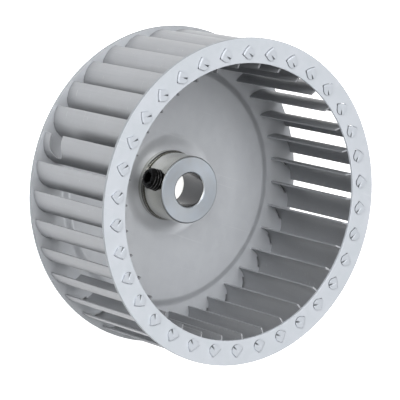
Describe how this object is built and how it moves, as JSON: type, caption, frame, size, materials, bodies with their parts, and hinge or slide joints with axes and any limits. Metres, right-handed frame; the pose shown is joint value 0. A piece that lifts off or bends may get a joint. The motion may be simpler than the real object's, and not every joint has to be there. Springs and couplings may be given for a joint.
{
  "type": "fan impeller",
  "caption": "Forward-curved centrifugal fan impeller of sheet steel: open inlet ring, clinched curved blades, pressed back disc, and a bored hub with a set screw.",
  "frame": {"origin": "on the wheel's axis, in the plane of the folded tab heads behind the back disc, which the wheel stands on", "axes": "+Z along the shaft from the back disc to the inlet ring, -Y towards the set screw"},
  "size_m": [0.12, 0.12, 0.0507],
  "materials": {
    "ring_steel": "pale galvanised sheet, satin",
    "disc_steel": "galvanised sheet, satin",
    "blade_steel": "galvanised sheet, satin",
    "hub_zinc": "turned and zinc-plated",
    "screw_black": "black oxide, slightly oily"
  },
  "bodies": {
    "wheel": {"back_disc": "disc_steel", "inlet_ring": "ring_steel", "hub": "hub_zinc", "blade_01": "blade_steel", "blade_02": "blade_steel", "blade_03": "blade_steel", "blade_04": "blade_steel", "blade_05": "blade_steel", "blade_06": "blade_steel", "blade_07": "blade_steel", "blade_08": "blade_steel", "blade_09": "blade_steel", "blade_10": "blade_steel", "blade_11": "blade_steel", "blade_12": "blade_steel", "blade_13": "blade_steel", "blade_14": "blade_steel", "blade_15": "blade_steel", "blade_16": "blade_steel", "blade_17": "blade_steel", "blade_18": "blade_steel", "blade_19": "blade_steel", "blade_20": "blade_steel", "blade_21": "blade_steel", "blade_22": "blade_steel", "blade_23": "blade_steel", "blade_24": "blade_steel", "blade_25": "blade_steel", "blade_26": "blade_steel", "blade_27": "blade_steel", "blade_28": "blade_steel", "blade_29": "blade_steel", "blade_30": "blade_steel", "blade_31": "blade_steel", "blade_32": "blade_steel", "blade_33": "blade_steel", "blade_34": "blade_steel"},
    "screw": {"set_screw": "screw_black"}
  },
  "joints": [
    {"name": "screw_travel", "type": "slide", "parent": "wheel", "child": "screw", "axis": [0, -1, 0], "range_m": [-0.0013, 0.005]}
  ]
}
